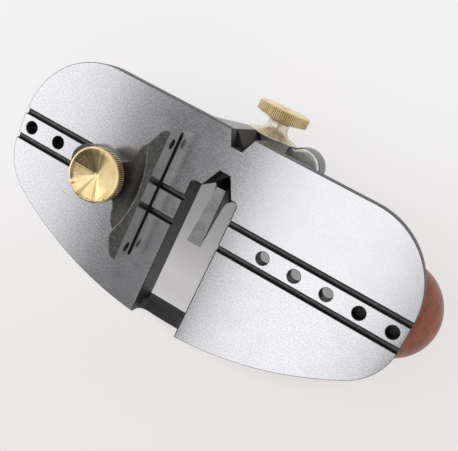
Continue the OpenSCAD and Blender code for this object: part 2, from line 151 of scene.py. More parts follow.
# %% Finishes
class Finish:
    """A node tree that is built by method calls, for a material or for the world."""

    def __init__(self, owner):
        self.owner = owner
        owner.use_nodes = True
        self.tree = owner.node_tree
        self.tree.nodes.clear()

    def node(self, kind, settings=None, values=None, output=0):
        made = self.tree.nodes.new(kind)
        for name, setting in (settings or {}).items():
            setattr(made, name, setting)
        for name, value in (values or {}).items():
            if isinstance(value, Flow):
                self.tree.links.new(value.socket, made.inputs[name])
            else:
                made.inputs[name].default_value = value
        return Flow(self, made.outputs[output]) if len(made.outputs) else made

    def place_mm(self, offset=(0, 0, 0)):
        """Object coordinates in the drawing's millimetres, counted from offset."""
        metres = self.node("ShaderNodeTexCoord", output="Object")
        back = (-offset[0], DRAWING_Y - offset[1], -SOLE_HEIGHT - offset[2])
        return self.node("ShaderNodeVectorMath", {"operation": "MULTIPLY_ADD"},
                         {0: metres, 1: (1000, 1000, 1000), 2: back})

    def axes(self, place):
        split = self.node("ShaderNodeSeparateXYZ", None, {0: place})
        outputs = split.socket.node.outputs
        return [Flow(self, outputs[i]) for i in range(3)]

    def join(self, x, y, z):
        return self.node("ShaderNodeCombineXYZ", None, {0: x, 1: y, 2: z})

    def stretch(self, place, factors):
        return self.node("ShaderNodeVectorMath", {"operation": "MULTIPLY"}, {0: place, 1: factors})

    def noise(self, place, scale, detail=2, rough=0.5, twist=0):
        return self.node("ShaderNodeTexNoise", None,
                         {"Vector": place, "Scale": scale, "Detail": detail,
                          "Roughness": rough, "Distortion": twist})

    def size(self, value):
        """The value without its sign."""
        return self.node("ShaderNodeMath", {"operation": "ABSOLUTE"}, {0: value})

    def band(self, value, low, high, start=0.0, end=1.0):
        """Carries value from low..high onto start..end, smoothly and without overshoot."""
        return self.node("ShaderNodeMapRange", {"interpolation_type": "SMOOTHSTEP"},
                         {0: value, 1: low, 2: high, 3: start, 4: end})

    def blend(self, factor, first, second, how="MIX"):
        def rgba(c):
            return c if isinstance(c, Flow) else (*c, 1)
        return self.node("ShaderNodeMix", {"data_type": "RGBA", "blend_type": how},
                         {0: factor, 6: rgba(first), 7: rgba(second)}, output=2)

    def bump(self, height, depth_mm, under=None):
        """A bumpy normal, laid over the one from under where there is one."""
        values = {"Height": height, "Strength": 1.0, "Distance": depth_mm * MM}
        if under:
            values["Normal"] = under
        return self.node("ShaderNodeBump", None, values)

    def surface(self, **sockets):
        """Ends the material in a Principled shader. Underscores stand for spaces."""
        values = {name.replace("_", " "): value for name, value in sockets.items()}
        shader = self.node("ShaderNodeBsdfPrincipled", None, values)
        self.node("ShaderNodeOutputMaterial", None, {0: shader})
        return self.owner


def finish(name):
    return Finish(bpy.data.materials.new(name))


print("finishes are ready to be mixed")

# %% [markdown]
# The sole is cast iron, ground flat. Grinding leaves a satin surface: it mirrors the room like a
# blurred looking glass, with a fine sparkle and faint tints of colour. A picture of such iron
# would do, but noise needs no file and has no seams. Noise at two scales drives the colour and
# the roughness, and a very shallow bump breaks the reflection up. The speckle is calmer on the
# right behind the holes, and a thin dark line of painted shade runs along the throat's right
# edge, where the ground face rounds over.

# %% Ground iron
THROAT_HALF = 11.3
CALM = 0.6
EDGE_SHADE_IRON = (0.03, 0.03, 0.03)


def ground_iron(name, dark, light, roughness, sparkle_mm, metal=1.0):
    f = finish(name)
    place = f.place_mm()
    x, y, _ = f.axes(place)
    grain = f.noise(place, scale=1.2, rough=0.6)
    fine = f.noise(place, scale=4.0, detail=1)
    cloud = f.noise(place, scale=0.12)
    calm = f.band(x, 5, 30) * f.band(y, -10, 12) * CALM
    tone = (f.band(grain, 0.40, 0.60) - 0.5) * (1.0 - calm) + 0.5
    rose_or_green = f.band(f.noise(place, scale=0.8, detail=1), 0.4, 0.6)
    tint = f.blend(rose_or_green, (1.0, 0.984, 1.0), (0.986, 1.0, 0.992))
    colour = f.blend(1.0, f.blend(tone, dark, light), tint, "MULTIPLY")
    # Painted shade: a thin dark line on the ground face along the throat's right edge.
    near_edge = f.band(x, THROAT_HALF + 0.4, THROAT_HALF + 0.6, 1, 0)
    edge_shade = near_edge * f.band(x, 8, 9) * f.band(y, 13, 14, 1, 0)
    colour = f.blend(edge_shade * 0.85, colour, EDGE_SHADE_IRON)
    rough = roughness + 0.05 * cloud + 0.05 * grain - 0.05
    return f.surface(Base_Color=colour, Metallic=metal, Roughness=rough,
                     Normal=f.bump(fine * 0.5 + grain * 0.5, sparkle_mm))


sole_finish = ground_iron("ground_sole", (0.611, 0.609, 0.633), (0.715, 0.713, 0.735),
                          roughness=0.19, sparkle_mm=0.0026)
# Painted shade: this machined iron is nearly black, as dark as the block's rear face looks in its
# shade. The sole's broken edges take the same dark iron.
machined_and_shade_finish = ground_iron("machined_iron_and_shade", (0.052, 0.054, 0.052), (0.095, 0.098, 0.094),
                              roughness=0.45, sparkle_mm=0.006, metal=0.25)
print(sole_finish.name, "and", machined_and_shade_finish.name)

# %% [markdown]
# The rest of the casting is dipped in black enamel. Over a rough casting it never dries quite
# flat, so a slow wave and a fine orange peel bend its gloss. Left of the rear notch the enamel is
# rubbed down to bright iron. The block's rear face lies in one plane with the plate's rear side,
# so that patch is laid by its place and not as a face of its own. The front notch and the rear
# notch's flat wall are painted near black as the deep shade in them, and the slanted walls of the
# rear one are a dark grey: both are duller mixes of the same.

# %% Black enamel
PLATE, REAR_Y = 7, 41
RUBBED_TO_X = -4.9
RUBBED_IRON = (0.45, 0.45, 0.46)


def enamel(name, colour, roughness, shine=0.5):
    f = finish(name)
    place = f.place_mm()
    x, y, z = f.axes(place)
    block = f.band(z, -PLATE - 0.8, -PLATE + 0.8, 1, 0)
    near_block = f.band(z, -6.5, -3.5, 1, 0) * f.band(x, -19, -8) * (1.0 - block)
    left = f.band(x, RUBBED_TO_X - 0.3, RUBBED_TO_X + 0.3, 1, 0)
    rubbed = (block * 0.85 + near_block) * left * f.band(y, REAR_Y - 0.5, REAR_Y + 0.5)
    wave = f.noise(place, scale=0.35)
    peel = f.noise(place, scale=1.6)
    tone = f.blend(f.band(wave, 0.35, 0.7), colour, [c * 1.7 for c in colour])
    tone = f.blend(rubbed, tone, RUBBED_IRON)
    rough = roughness + 0.18 * f.noise(place, scale=0.6, detail=3) - 0.09
    return f.surface(Base_Color=tone, Metallic=rubbed, Roughness=rough, Specular_IOR_Level=shine,
                     Normal=f.bump(peel, 0.012, f.bump(wave, 0.05)))


enamel_finish = enamel("black_enamel", (0.008, 0.008, 0.009), roughness=0.44)
# Painted shade: a near black enamel for the notches' deep shade and the fence's contact shadow.
painted_shade_finish = enamel("painted_shade_black", (0.004, 0.004, 0.004), roughness=0.75, shine=0.3)
notch_finish = enamel("dark_grey_notch", (0.038, 0.040, 0.047), roughness=0.6, shine=0.1)
print(enamel_finish.name, painted_shade_finish.name, "and", notch_finish.name)

# %% [markdown]
# The fence slides in two milled grooves. Oil and dust lie in them as dark smears, and the shade
# between their walls is painted in, so each floor is lighter in its middle and near black at its
# walls. Two materials would give that a hard edge, so one material darkens with the distance
# from the groove's middle, and a noise that is stretched along X gives the smears.

# %% Groove iron
GROOVE_MID_Y, GROOVE_REACH = 0.2, 6.0


def groove_iron():
    f = finish("groove_iron")
    place = f.place_mm()
    _, y, _ = f.axes(place)
    smear = f.noise(f.stretch(place, (0.25, 3.0, 1.0)), scale=1.4, detail=3)
    tone = f.blend(f.band(smear, 0.35, 0.65), (0.060, 0.060, 0.061), (0.150, 0.150, 0.150))
    # Painted shade: each groove darkens from its middle out to its walls.
    off_middle = f.size(f.size(y - GROOVE_MID_Y) - GROOVE_REACH)
    tone = f.blend(f.band(off_middle, 0.25, 0.75), tone, (0.012, 0.012, 0.012))
    return f.surface(Base_Color=tone, Metallic=0.6, Roughness=0.42)


groove_finish = groove_iron()
print(groove_finish.name)

# %% [markdown]
# The shapes are already right in the frame, and modelling them twice would only add mistakes. So
# a piece starts as a copy of its node. The copy is loose triangles: it is welded, and the edges
# between triangles in one plane are dissolved, because a bevel needs whole faces. A face can't go
# round a hole, so a few planes through the holes' middles stay as cuts.

# %% A copy of a piece from the frame
FLAT_ANGLE = math.radians(0.6)
WELD = 1e-3


def everything(bm):
    return bm.verts[:] + bm.edges[:] + bm.faces[:]


def cad_copy(node, cuts=()):
    """The node's mesh in the drawing's millimetres, cut at X = cuts and otherwise in whole faces."""
    bm = bmesh.new()
    bm.from_mesh(frame["nodes"][node].data)
    bmesh.ops.transform(bm, matrix=TO_DRAWING, verts=bm.verts)
    bmesh.ops.remove_doubles(bm, verts=bm.verts, dist=WELD)
    for x in cuts:
        bmesh.ops.bisect_plane(bm, geom=everything(bm), dist=WELD,
                               plane_co=(x, 0, 0), plane_no=(1, 0, 0))
    bm.normal_update()
    flat = [e for e in bm.edges if len(e.link_faces) == 2 and e.calc_face_angle(0) < FLAT_ANGLE
            and not any(all(abs(v.co.x - x) < 2 * WELD for v in e.verts) for x in cuts)]
    bmesh.ops.dissolve_edges(bm, edges=flat, use_verts=False, use_face_split=False)
    between = [v for v in bm.verts if len(v.link_edges) == 2 and v.calc_edge_angle(9) < FLAT_ANGLE]
    bmesh.ops.dissolve_verts(bm, verts=between)
    return bm


print("a flat face may bend by up to", round(math.degrees(FLAT_ANGLE), 1), "degrees")

# %% [markdown]
# No real piece has knife edges, and an edge that catches light is what makes metal look solid. A
# bevel on the finished mesh is used here rather than a Bevel modifier, so that each group of edges
# gets its own width. Faces are then smooth up to the creases, as on the real piece.

# %% Eased edges
def sharp_edges(bm, degrees=28):
    limit = math.radians(degrees)
    return [e for e in bm.edges if len(e.link_faces) == 2 and e.calc_face_angle(0) > limit]


def ease(bm, edges, width, segments=2, clamp=True):
    bmesh.ops.bevel(bm, geom=edges, offset=width, offset_type="OFFSET", affect="EDGES",
                    segments=segments, profile=0.5, material=-1, clamp_overlap=clamp)


def smooth_faces(bm):
    for face in bm.faces:
        face.smooth = True


def crease(bm, degrees):
    """Edges that bend by more than degrees stay sharp."""
    limit = math.radians(degrees)
    for edge in bm.edges:
        edge.smooth = len(edge.link_faces) == 2 and edge.calc_face_angle(0) < limit


def shade(bm, degrees=32):
    smooth_faces(bm)
    crease(bm, degrees)


print("edges can be eased")

# %% [markdown]
# Every piece ends in the same way: it goes into the frame's metres, gets its finishes and hangs
# on the body that it moves with. Smooth shading alone would make the large flat faces look
# puffed, so a Weighted Normal modifier keeps them flat.

# %% A finished piece
def mesh_object(name, bm):
    """Makes an object of what bm holds, and frees bm."""
    mesh = bpy.data.meshes.new(name)
    bm.to_mesh(mesh)
    bm.free()
    return new_object(name, mesh)


def piece(name, bm, body, finishes, node):
    """Makes the object that stands for node, in the frame's metres, and hangs it on its body."""
    bmesh.ops.transform(bm, matrix=TO_FRAME, verts=bm.verts)
    thing = mesh_object(name, bm)
    for material in finishes:
        thing.data.materials.append(material)
    weighted = thing.modifiers.new("weighted", "WEIGHTED_NORMAL")
    weighted.keep_sharp = True
    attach(thing, body)
    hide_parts(node)
    print(name, len(thing.data.polygons), "faces on", body)


print("bodies to hang pieces on:", ", ".join(sorted(frame["bodies"])))

# %% [markdown]
# The sole, the throat's walls, the arch and the post with its two notches are one casting. Its
# ground face has edges that are broken by a hair, and the rough parts below are rounder. Splitting
# it into pieces by finish would show seams, so it stays one mesh, and each face takes its finish
# from where it is and which way it looks.

# %% Sole casting
SOLE_EDGE, ROUGH_EDGE = 0.3, 0.7
HANDLE_X, CLAMP_X = 86, 0.8
HOLES_X = (31, 46, 61, 76, HANDLE_X, 91)
MOUTH_HALF, GROOVE_HALF, GROOVE_DEPTH = 13, 1.3, 1.82
NOTCH_HALF, FRONT_NOTCH_Y, REAR_NOTCH_Y, NOTCHES_END = 11.5, 13, 30, 38
REAR_FROM_Y, REAR_FROM_X, REAR_TO_X = 35.5, 7.5, 18
ENAMEL, GROUND, GROOVE, MACHINED_AND_SHADE, NOTCH_SHADE, NOTCH = range(6)
CASTING_FINISHES = [enamel_finish, sole_finish, groove_finish, machined_and_shade_finish, painted_shade_finish,
                    notch_finish]


def casting_finish(face):
    centre, normal = face.calc_center_median(), face.normal
    off_clamp = abs(centre.x - CLAMP_X)
    up = normal.z > 0.98
    eased = -SOLE_EDGE < centre.z < -0.01
    at_rear = centre.y > REAR_FROM_Y and REAR_FROM_X < off_clamp < REAR_TO_X and normal.y > 0.5
    notch_y = FRONT_NOTCH_Y < centre.y < NOTCHES_END
    in_notch = notch_y and off_clamp < NOTCH_HALF and centre.z < -SOLE_EDGE
    groove_y = abs(abs(centre.y - GROOVE_MID_Y) - GROOVE_REACH) < GROOVE_HALF
    in_groove = groove_y and -GROOVE_DEPTH < centre.z < -0.2
    if up and abs(centre.z) < 0.02:
        return GROUND
    if in_notch and not up and normal.z > -0.5 and not at_rear:
        # Painted shade: the front notch and the rear notch's flat wall take the near black finish.
        return NOTCH if centre.y > REAR_NOTCH_Y and normal.y < 0.95 else NOTCH_SHADE
    # The throat's broken edges take the dark groove iron, as painted edge shade.
    if in_groove or (eased and abs(centre.x) < MOUTH_HALF):
        return GROOVE
    if at_rear and centre.x < CLAMP_X:
        return ENAMEL
    # The block's rear face right of the clamp takes the dark machined iron as painted shade.
    return MACHINED_AND_SHADE if at_rear or eased else ENAMEL


def sole_casting():
    bm = cad_copy("body_casting", [side * x for x in HOLES_X for side in (-1, 1)])
    rim = [e for e in sharp_edges(bm) if all(abs(v.co.z) < 0.01 for v in e.verts)]
    ease(bm, rim, SOLE_EDGE, clamp=False)
    low = [e for e in sharp_edges(bm, degrees=50)
           if all(v.co.z < -2.5 for v in e.verts) and e.is_convex and e.calc_length() > 1.5]
    ease(bm, low, ROUGH_EDGE)
    bm.normal_update()
    for face in bm.faces:
        face.material_index = casting_finish(face)
    shade(bm)
    piece("sole_casting", bm, "casting", CASTING_FINISHES, "body_casting")


sole_casting()

# %% [markdown]
# Round pieces come off a lathe, so they are made like that here: a profile of (radius, height)
# points is spun about its axis. A cylinder with cuts would need more steps for the same shape.
# For a straight knurl every fourth point of the rim is moved in, which leaves flat-topped teeth
# like the ones that a knurling wheel presses. The flanks of the teeth get the second material,
# since dirt stays between them.

# %% Lathe
ALONG_Z = Matrix.Identity(4)
ALONG_Y = Matrix.Rotation(math.radians(-90), 4, "X")
STEPS_A_TOOTH = 4


def spun_line(profile, steps, rise=0.0):
    """What a line of (radius, height) points sweeps in one turn about Z, while it goes up by rise."""
    bm = bmesh.new()
    line = [bm.verts.new((r, 0, h)) for r, h in profile]
    for a, b in zip(line, line[1:]):
        bm.edges.new((a, b))
    bmesh.ops.spin(bm, geom=bm.verts[:] + bm.edges[:], cent=(0, 0, 0), axis=(0, 0, 1),
                   dvec=(0, 0, rise / steps), angle=math.tau, steps=steps, use_merge=rise == 0.0)
    return bm


def knurl(bm, steps, low, high, least, depth):
    """Moves every fourth point in by depth, between two heights and outside the radius least."""
    for v in bm.verts:
        if low < v.co.z < high and v.co.xy.length > least:
            step = round(math.atan2(v.co.y, v.co.x) / math.tau * steps)
            if step % STEPS_A_TOOTH == 0:
                v.co.xy *= 1 - depth / v.co.xy.length
                for face in v.link_faces:
                    if low < face.calc_center_median().z < high:
                        face.material_index = 1


def turned(profile, steps, teeth=None):
    """A spun solid. teeth is (lowest height, highest height, least radius, depth)."""
    bm = spun_line(profile, steps)
    bmesh.ops.remove_doubles(bm, verts=bm.verts, dist=1e-4)
    if teeth:
        knurl(bm, steps, *teeth)
    bmesh.ops.recalc_face_normals(bm, faces=bm.faces)
    return bm


def stand(bm, centre, along=ALONG_Z):
    bmesh.ops.transform(bm, matrix=Matrix.Translation(centre) @ along, verts=bm.verts)


def arc(centre, radius, start, end, count):
    """Points on a circle, as (radius, height) pairs, from one angle in degrees to another."""
    angles = [math.radians(start + (end - start) * i / count) for i in range(count + 1)]
    return [(centre[0] + radius * math.cos(a), centre[1] + radius * math.sin(a)) for a in angles]


print("the lathe is ready, with", STEPS_A_TOOTH, "steps to a tooth")

# %% [markdown]
# Brass is golden, but its exact colour depends on what it mirrors. A cutting tool leaves fine
# rings about the axis, and these smear every reflection along the radius, so a turned face shows
# bright and dark fans. An anisotropic shader would do the same, but it doesn't survive an export.
# So the rings are a bump here, slow radial streaks change the roughness, a turned face may have
# dark wedges at given angles painted in as dark fans of reflection, and dark streaks along the
# axis may be painted in as reflection too.

# %% Turned brass
RINGS_MM, FANS_MM = 0.0008, 0.03


def brass(name, centre, axis, roughness, dark=(0.72, 0.55, 0.27), light=(0.82, 0.67, 0.38),
          metal=1.0, painted_dark_fans=(), painted_streaks=0.0):
    f = finish(name)
    place = f.place_mm(centre)
    x, y, z = f.axes(place)
    across = (x, y) if axis == "Z" else (x, z)
    along = z if axis == "Z" else y
    radius = (across[0] * across[0] + across[1] * across[1] + 0.01) ** 0.5
    rings = f.noise(f.join(radius * 5.0, along * 5.0, 0.0), scale=1.0, detail=3, rough=0.6)
    fan_place = f.join(across[0] / radius, across[1] / radius, along * 0.03)
    fan = f.noise(fan_place, scale=3.2, detail=3, rough=0.65)
    colour = f.blend(f.band(f.noise(place, scale=0.15, detail=1), 0.35, 0.7), dark, light)
    # Painted reflection: dark streaks that run along the axis.
    if painted_streaks:
        line = f.band(f.noise(fan_place, scale=6.5, detail=1), 0.52, 0.62)
        colour = f.blend(line * painted_streaks, colour, [c * 0.4 for c in dark])
    # Painted reflection: a dark wedge at each given angle.
    for degrees in painted_dark_fans:
        a = math.radians(degrees)
        near = (across[0] * math.cos(a) + across[1] * math.sin(a)) / radius
        colour = f.blend(f.band(near, 0.9915, 0.9980) * 0.7, colour, [c * 0.45 for c in dark])
    rough = roughness + 0.10 * (fan - 0.5)
    return f.surface(Base_Color=colour, Metallic=metal, Roughness=rough,
                     Normal=f.bump(rings, RINGS_MM, f.bump(fan * radius, FANS_MM)))


def valley_brass(name, centre, axis):
    """The tarnish between the teeth of a knurl."""
    return brass(name + "_valley", centre, axis, roughness=0.35, dark=(0.22, 0.14, 0.05),
                 light=(0.32, 0.21, 0.08))


print("brass can be turned, with rings", RINGS_MM, "mm deep")

# %% [markdown]
# Steel pieces differ mostly in how their surface was left: drawn bar is satin, a ground face is
# speckled, and the shank of a cutter is black from its hardening. Some carry painted light too: a
# bright chamfer is a painted highlight, dark steel on upright faces is a painted dark reflection,
# the sides of the cutter's foot are painted darker as shade, and the shank is painted darker still
# for the deep shade it lies in. One recipe with a few parameters makes them all: a noise that is
# stretched along the scratches drives colour, roughness and bump together, as one scratch does
# on the real piece.

# %% Steel
def steel(name, dark, light, roughness, scale=1.2, scratch=(1, 1, 1), bump_mm=0.003, metal=1.0):
    f = finish(name)
    place = f.place_mm()
    cloud = f.noise(place, scale=0.25, detail=3)
    grain = f.noise(f.stretch(place, scratch), scale, detail=4, rough=0.65)
    tone = f.band(grain * 0.7 + cloud * 0.3, 0.36, 0.64)
    rough = roughness + 0.16 * (grain - 0.5) + 0.1 * (cloud - 0.5)
    return f.surface(Base_Color=f.blend(tone, dark, light), Metallic=metal, Roughness=rough,
                     Normal=f.bump(grain, bump_mm))


screw_steel = steel("screw_steel", (0.30, 0.30, 0.30), (0.46, 0.46, 0.46), 0.36)
ground_steel = steel("ground_steel", (0.36, 0.36, 0.345), (0.56, 0.56, 0.54), 0.5, scale=1.4,
                     metal=0.5)
dark_reflection_steel = steel("dark_reflection_steel", (0.035, 0.035, 0.035), (0.125, 0.125, 0.125), 0.30,
                       scale=0.7, scratch=(1, 1, 0.08), bump_mm=0.0, metal=0.3)
highlight_steel = steel("highlight_steel", (0.50, 0.50, 0.48), (0.72, 0.72, 0.70), 0.25)
cutter_steel = steel("cutter_steel", (0.22, 0.215, 0.22), (0.34, 0.335, 0.34), 0.32,
                     scratch=(0.6, 2.2, 1.0), bump_mm=0.008)
# Painted shade: a darker copy of the cutter's steel for the sides of its foot.
foot_side_shade = steel("foot_side_shade", (0.085, 0.082, 0.085), (0.14, 0.137, 0.14), 0.36, scale=1.6)
# Blackened steel, painted darker still for the deep shade round the shank.
shank_black_and_shade = steel("shank_black_and_shade", (0.008, 0.008, 0.009), (0.018, 0.018, 0.019), 0.6, metal=0.2)
print(screw_steel.name, ground_steel.name, dark_reflection_steel.name, highlight_steel.name,
      cutter_steel.name, foot_side_shade.name, shank_black_and_shade.name)

# %% [markdown]
# The fence is a rough casting: black oxide with brown rust in its pores. Its upper edge is worn
# bright along the hollow, where a hand slides past, and that bright line is partly a painted
# highlight of the edge. Paint on a texture would do for that line, but the hollow is part of a
# circle, so the distance from that circle's arc finds the edge exactly. The fence's face and
# underside were ground.

# %% Fence iron
FENCE_X, FENCE_Y = -23.6, 0.75
HOLLOW_R, HOLLOW_U = 47.0, 49.7
BAR_TOP = 13.0


def cast_iron(name):
    f = finish(name)
    place = f.place_mm()
    lumps = f.noise(place, scale=0.55, detail=3, rough=0.6)
    grit = f.noise(place, scale=2.4, detail=3, rough=0.7)
    pores = f.node("ShaderNodeTexVoronoi", None, {"Vector": place, "Scale": 0.8})
    colour = f.blend(f.band(lumps, 0.35, 0.68), (0.052, 0.052, 0.050), (0.090, 0.087, 0.083))
    rust = f.band(f.noise(place, scale=1.1, detail=4, rough=0.65), 0.52, 0.72)
    colour = f.blend(rust * 0.4, colour, (0.135, 0.100, 0.075))
    x, y, z = f.axes(place)
    across, along = x - (FENCE_X - HOLLOW_U), y - FENCE_Y
    reach = (across * across + along * along) ** 0.5 - HOLLOW_R
    # Wear and painted highlight: a bright line along the hollow's upper edge.
    wear_and_highlight = f.band(reach * reach, 0.04, 0.35, 1, 0) * f.band(z, BAR_TOP - 0.6, BAR_TOP - 0.2)
    wear_and_highlight = wear_and_highlight * f.band(f.noise(place, scale=0.8), 0.35, 0.55, 0.4, 1.0)
    colour = f.blend(wear_and_highlight, colour, (0.33, 0.31, 0.29))
    rough = 0.40 + 0.2 * (grit - 0.5) + 0.12 * (lumps - 0.5)
    rock = f.bump(lumps * 0.7 + f.band(pores, 0.0, 0.5) * 0.3, 0.05)
    return f.surface(Base_Color=colour, Metallic=0.6, Roughness=rough,
                     Normal=f.bump(grit, 0.016, rock))


cast_finish = cast_iron("cast_fence_iron")
fence_face_finish = steel("ground_fence_iron", (0.50, 0.49, 0.47), (0.66, 0.65, 0.63), 0.20,
                          scale=1.4, scratch=(1, 0.3, 2.0), bump_mm=0.002)
print(cast_finish.name, "and", fence_face_finish.name)

# %% [markdown]
# The handles are turned from a reddish hardwood and oiled. Its pores are short dark lines along
# the grain, and the grain runs up the handle, so on the egg's flanks it shows as long arches. A
# flat wood picture couldn't follow the egg. Noise in the piece's own space can, since it is cut
# open by the surface as real wood is by the lathe.

# %% Oiled wood
def oiled_wood(name, centre):
    f = finish(name)
    place = f.place_mm(centre)
    bend = f.noise(place, scale=0.035)
    rings = f.noise(f.stretch(place, (0.55, 0.18, 0.02)), scale=1.0, detail=3, rough=0.55, twist=0.6)
    streak = f.noise(f.stretch(place, (1.6, 1.6, 0.09)), scale=1.0, detail=3, rough=0.6)
    pores = f.band(f.noise(f.stretch(place, (3.2, 3.2, 0.22)), scale=1.0), 0.60, 0.70)
    colour = f.blend(f.band(rings, 0.34, 0.66), (0.19, 0.046, 0.017), (0.315, 0.092, 0.036))
    colour = f.blend(f.band(streak, 0.35, 0.7) * 0.45, colour, (0.25, 0.066, 0.032))
    colour = f.blend(pores * 0.75, colour, (0.060, 0.020, 0.014))
    rough = 0.34 + 0.12 * (streak - 0.5) + 0.12 * (bend - 0.5) + 0.1 * pores
    grain = f.bump(1.0 - pores, 0.03)
    return f.surface(Base_Color=colour, Roughness=rough, Specular_IOR_Level=0.35,
                     Normal=f.bump(streak, 0.012, grain))


print("wood can be oiled")

# %% [markdown]
# Each handle is an egg on a short neck. Its flat end stands on the table, and a counterbore there
# hides a brass cup washer and the head of a long screw. A stretched sphere would need its ends cut
# and bored, so the whole outline is turned: two arcs of one circle, each stretched in height, meet
# at the egg's widest place. The wood's rings lie about the tree's heart, a little off the axis.

# %% Handles
HANDLE_R, HANDLE_MID, FLAT_R = 22.2, -35.3, 9
NECK_R, NECK_TOP, NECK_END = 10.3, -14, -15
CUP_R, CUP_DEPTH, SCREW_BORE = 6.8, 7, 2.55
HANDLE_STEPS = 80
HEART_OUT, HEART_REAR = 4, 3


def egg_side(end_r, rise, count):
    """The egg's outline from its widest place to the radius end_r, which lies rise above it."""
    end = math.acos(end_r / HANDLE_R)
    stretch = rise / (HANDLE_R * math.sin(end))
    quarter = arc((0, 0), HANDLE_R, 0, math.degrees(end), count)
    return [(r, HANDLE_MID + h * stretch) for r, h in quarter]


def handle_profile():
    table = -SOLE_HEIGHT
    neck = [(SCREW_BORE, NECK_TOP), (NECK_R - 0.4, NECK_TOP), (NECK_R, NECK_TOP - 0.3)]
    upper = egg_side(NECK_R, NECK_END - HANDLE_MID, 20)[::-1]
    lower = egg_side(FLAT_R, table - HANDLE_MID, 18)[1:-1]
    foot = [(FLAT_R + 0.5, table + 0.25), (FLAT_R, table)]
    cup = [(CUP_R + 0.3, table), (CUP_R, table + 0.3), (CUP_R, table + CUP_DEPTH),
           (SCREW_BORE, table + CUP_DEPTH)]
    return neck + upper + lower + foot + cup + neck[:1]


def handle(name, node, side):
    bm = turned(handle_profile(), HANDLE_STEPS)
    shade(bm, degrees=35)
    stand(bm, (side * HANDLE_X, 0, 0))
    wood = oiled_wood(name + "_wood", (side * (HANDLE_X + HEART_OUT), HEART_REAR, 0))
    piece(name, bm, "casting", [wood], node)


handle("left_handle", "left_knob", -1)
handle("right_handle", "right_knob", 1)

# %% [markdown]
# Small fittings keep the frame's own shape, and most of each is hidden. Leaving the frame's nodes
# as they are would show knife edges, so each is a copy with its edges eased a little, in the
# finish that its metal has.

# %% Small fittings
CLAMP_Z = -45.4
CLAMP_AXIS = (CLAMP_X, 0, CLAMP_Z)
ROD = (20, 31.6)
FENCE_STUD_X = -46


def fitting(name, node, body, material, width=0.25, cuts=()):
    bm = cad_copy(node, cuts)
    ease(bm, sharp_edges(bm), width)
    shade(bm)
    piece(name, bm, body, [material], node)


for side, sign in (("left", -1), ("right", 1)):
    place = (sign * HANDLE_X, 0, 0)
    fitting(side + "_screw", side + "_knob_screw", "casting",
            brass(side + "_screw_brass", place, "Z", roughness=0.3))
    fitting(side + "_cup_washer", side + "_knob_washer", "casting",
            brass(side + "_washer_brass", place, "Z", roughness=0.3), cuts=[sign * HANDLE_X])
fitting("shank_key", "cutter_key", "depth_slide", screw_steel, width=0.2)
fitting("rod_lock_nut", "adjuster_lock_nut", "casting", screw_steel, width=0.4,
        cuts=[ROD[0]])
fitting("nut_ring", "adjuster_ring", "adjuster", screw_steel, width=0.15, cuts=[ROD[0]])
fitting("fence_cup", "fence_washer", "washer_slide", screw_steel, width=0.3,
        cuts=[FENCE_STUD_X])
fitting("thrust_pad", "clamp_pad", "pad_slide",
        brass("pad_brass", CLAMP_AXIS, "Y", roughness=0.3), width=0.3)

# %% [markdown]
# Three pieces are threaded bar: the adjuster's rod, the clamp's stud and the fence knob's stud.
# Their threads have a pitch of 1 mm, so that one turn moves the slide by as much. A Screw modifier
# could do it, but an operator leaves a closed mesh at once: a zigzag line is swept round and along,
# and both ends are cut square and filled.

# %% Threaded bars
PITCH, THREAD_DEPTH = 1.0, 0.55
STUD_R, FENCE_STUD_R = 3.0, 2.8
THREAD_STEPS = 32


def cut_off(bm, point, outward, dist):
    """Cuts away what lies beyond a plane, and returns the edges round the cut."""
    cut = bmesh.ops.bisect_plane(bm, geom=everything(bm), dist=dist, clear_outer=True,
                                 plane_co=point, plane_no=outward)
    return [e for e in cut["geom_cut"] if isinstance(e, bmesh.types.BMEdge)]


def screw_thread(radius, low, high):
    """A threaded bar about Z, from the height low to the height high."""
    count = math.ceil((high - low) / PITCH) + 3
    zigzag = [(radius - (0 if i % 2 else THREAD_DEPTH), low - 2 * PITCH + i * PITCH / 2)
              for i in range(2 * count + 1)]
    bm = spun_line(zigzag, THREAD_STEPS, rise=PITCH)
    bmesh.ops.remove_doubles(bm, verts=bm.verts, dist=WELD)
    for height, up in ((low, -1), (high, 1)):
        rim = cut_off(bm, (0, 0, height), (0, 0, up), dist=1e-5)
        bmesh.ops.holes_fill(bm, edges=rim)
    bmesh.ops.recalc_face_normals(bm, faces=bm.faces)
    return bm


def threaded(name, node, body, radius, low, high, centre, along=ALONG_Z):
    bm = screw_thread(radius, low, high)
    shade(bm, degrees=75)
    stand(bm, centre, along)
    piece(name, bm, body, [screw_steel], node)


threaded("rod", "adjuster_rod", "casting", STUD_R, low=-65.0, high=-22.0, centre=(*ROD, 0))
threaded("clamp_screw_stud", "clamp_stud", "clamp_screw", STUD_R, low=36.2, high=52.0,
         centre=CLAMP_AXIS, along=ALONG_Y)
threaded("fence_screw_stud", "fence_stud", "fence_screw", FENCE_STUD_R, low=-6.5, high=12.0,
         centre=(FENCE_STUD_X, 0, 0))

# %% [markdown]
# The clamp knob is one piece of brass. A thin flange presses on the collar, a waist leaves room
# for the fingers, and a wide wheel with a straight knurl ends in a chamfer. It is one profile on
# the lathe. Its three finishes could be three pieces, but sorting the faces by their height keeps
# the skin whole: the wheel is golden, its valleys are brown, and the neck is painted paler as a
# sheen, with painted dark streaks of reflection that run from the flange to the wheel.

# %% Clamp knob
FLANGE_Y, CLAMP_END = 41.3, 55.8
FLANGE_R, WAIST_R, COVE_R, WHEEL_R = 12.3, 5.2, 5.6, 12.5
CLAMP_BORE, NECK_H, WHEEL_H = 3.02, 7.5, 9.7
WHEEL_TEETH, TOOTH_DEPTH = 80, 0.45


